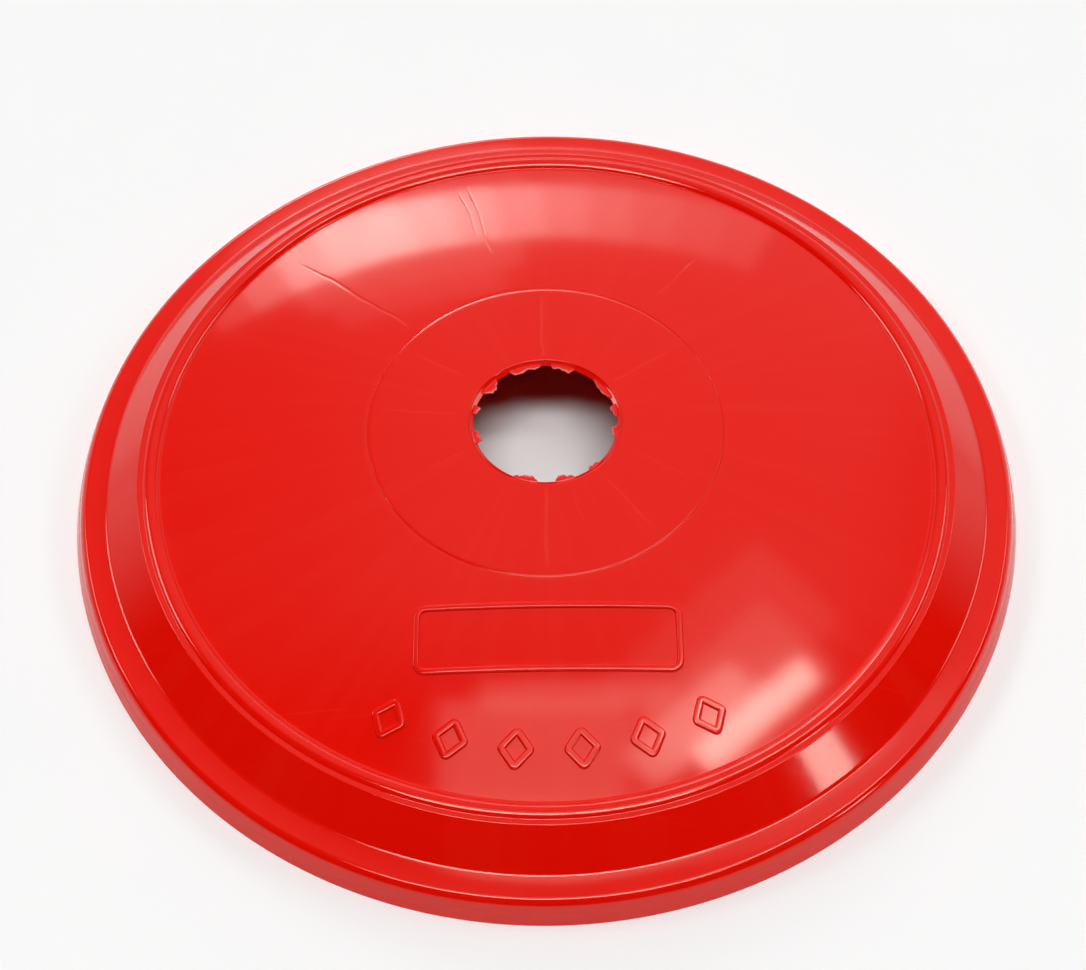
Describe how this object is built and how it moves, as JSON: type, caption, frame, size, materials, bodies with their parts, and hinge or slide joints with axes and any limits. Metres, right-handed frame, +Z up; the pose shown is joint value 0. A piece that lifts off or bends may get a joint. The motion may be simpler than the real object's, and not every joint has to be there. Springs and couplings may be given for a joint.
{
  "type": "marker disc",
  "caption": "Round red plastic ground marker: a shallow hollow dome on a stepped rim, with a flush hub plate and a round centre hole to drop over a pole or carry on a strap.",
  "frame": {"origin": "on the disc's axis, level with the bottom of the rim, where it stands on the ground", "axes": "+Z up along the disc's axis, out of the top of the dome; -Y towards the front, where the raised panel is"},
  "size_m": [0.2, 0.2, 0.0221],
  "materials": {
    "shell_red": "gloss, as moulded",
    "hub_red": "gloss, as moulded"
  },
  "bodies": {
    "root": {"disc_shell": "shell_red", "hub_plate": "hub_red"}
  },
  "joints": []
}
